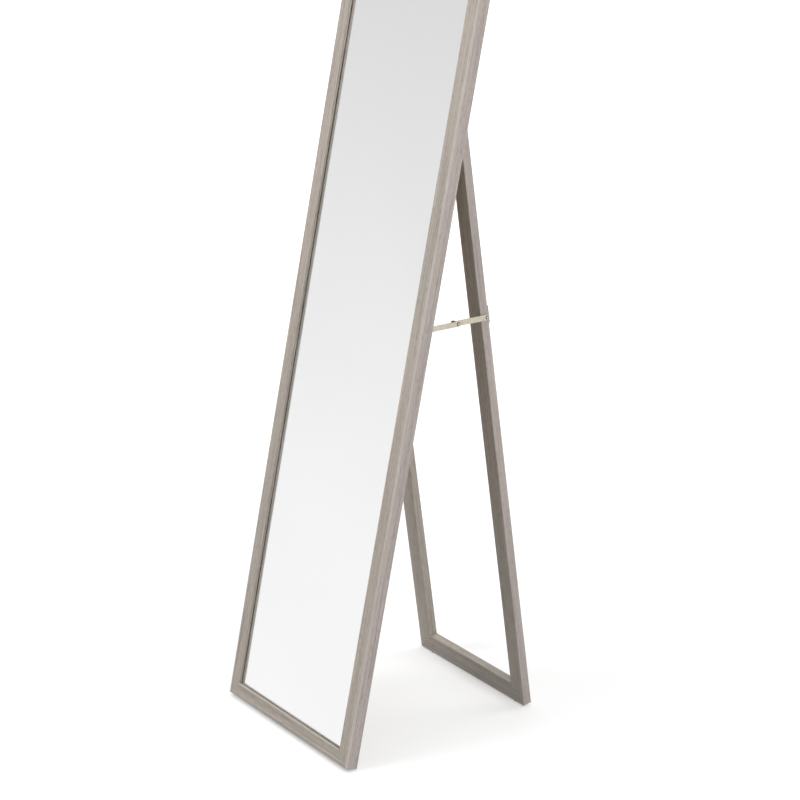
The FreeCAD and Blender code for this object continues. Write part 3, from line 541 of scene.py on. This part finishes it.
tree.links.new(lift.outputs[0], shader.inputs["Emission Strength"])
distance_share = add(tree, "ShaderNodeMapRange", [(0, distance), ("From Max", FLOOR_RADIUS)]).outputs[0]
mirrored_floor = add(tree, "ShaderNodeEmission", [
    ("Color", graded(tree, distance_share, [(0.0, "FDFDFD"), (0.4, "FAFAFA"), (1.0, "F3F3F3")]))])
mirrored = add(tree, "ShaderNodeMath", [(0, rays["Is Glossy Ray"]), (1, rays["Is Transmission Ray"])],
               operation="MAXIMUM").outputs[0]
floor_look = add(tree, "ShaderNodeMixShader", [(0, mirrored), (1, shader.outputs[0]),
                                               (2, mirrored_floor.outputs[0])])
tree.links.new(floor_look.outputs[0], tree.nodes["Material Output"].inputs[0])
FLOOR_STEPS = 96
turns = [math.tau * i / FLOOR_STEPS for i in range(FLOOR_STEPS)]
ring = [(FLOOR_RADIUS * math.cos(turn), FLOOR_RADIUS * math.sin(turn), 0) for turn in turns]
mesh = bpy.data.meshes.new("studio_floor")
mesh.from_pydata(ring, [], [tuple(range(FLOOR_STEPS))])
mesh.materials.append(floor_material)
floor = bpy.data.objects.new("studio_floor", mesh)
bpy.context.scene.collection.objects.link(floor)

world = bpy.data.worlds.new("studio")
bpy.context.scene.world = world
world.use_nodes = True
tree = world.node_tree
background = tree.nodes["Background"]
direction = add(tree, "ShaderNodeTexCoord").outputs["Generated"]
upward = add(tree, "ShaderNodeSeparateXYZ", [(0, direction)]).outputs[2]
height_share = add(tree, "ShaderNodeMapRange", [(0, upward), ("From Min", -0.25),
                                                ("From Max", 0.25)]).outputs[0]
backdrop = graded(tree, height_share, [(0.0, "FCFCFC"), (0.34, "F2F2F2"), (0.6, "DFDFDF"), (1.0, "D0D0D0")])
rays = add(tree, "ShaderNodeLightPath").outputs
mirrored = add(tree, "ShaderNodeMath", [(0, rays["Is Glossy Ray"]), (1, rays["Is Transmission Ray"])],
               operation="MAXIMUM").outputs[0]
ambient = add(tree, "ShaderNodeMix", [("Factor", mirrored), (6, linear("303030")), (7, backdrop)],
              data_type="RGBA").outputs[2]
shown = add(tree, "ShaderNodeMix", [("Factor", rays["Is Camera Ray"]), (6, ambient), (7, (1, 1, 1, 1))],
            data_type="RGBA").outputs[2]
tree.links.new(shown, background.inputs[0])


def soft_lamp(name, place, aim, size, watts):
    """A square area lamp at a place, turned towards the point it lights."""
    lamp = bpy.data.lights.new(name, "AREA")
    lamp.shape = "SQUARE"
    lamp.size = size
    lamp.energy = watts
    holder = bpy.data.objects.new(name, lamp)
    bpy.context.scene.collection.objects.link(holder)
    holder.location = place
    holder.rotation_euler = (Vector(aim) - Vector(place)).to_track_quat("-Z", "Y").to_euler()
    return holder


soft_lamp("overhead_softbox", (-0.6, 0.8, 4.2), (-0.6, 0.8, 0), 5.0, 165)
front_lamp = soft_lamp("front_softbox", (-0.9, -2.9, 3.6), (0, 0, 0.7), 2.0, 118)
soft_lamp("right_softbox", (4.0, -0.5, 2.9), (0, 0, 0.8), 2.4, 135)
soft_lamp("rear_softbox", (0.8, 4.2, 2.4), (0, 0, 0.7), 2.4, 60)

# The front softbox doesn't reach the pane, where it would stand as a hard white patch when seen
# from the front. The other lamps do, because without them in the pane the left stile is darker.
unlit = bpy.data.collections.new("pane_without_front_softbox")
unlit.objects.link(pane)
unlit.collection_objects[0].light_linking.link_state = "EXCLUDE"
front_lamp.light_linking.receiver_collection = unlit


# ---- Camera ----
# The viewpoint of the photograph, solved from its straight edges and the sizes of the piece.
CAMERA_PLACE = Vector((3.7032, -2.5656, 2.1799))
CAMERA_TURN = math.radians(54.933)
CAMERA_DIP = math.radians(-19.676)
CAMERA_SENSOR = 36      # mm, as is the lens
CAMERA_LENS = 126.68
camera_data = bpy.data.cameras.new("photo_camera")
camera_data.sensor_width = CAMERA_SENSOR
camera_data.lens = CAMERA_LENS
camera = bpy.data.objects.new("photo_camera", camera_data)
bpy.context.scene.collection.objects.link(camera)
sight = Vector((-math.sin(CAMERA_TURN) * math.cos(CAMERA_DIP),
                math.cos(CAMERA_TURN) * math.cos(CAMERA_DIP), math.sin(CAMERA_DIP)))
camera.location = CAMERA_PLACE
camera.rotation_euler = sight.to_track_quat("-Z", "Y").to_euler()
bpy.context.scene.camera = camera
bpy.context.scene.view_settings.view_transform = "Standard"
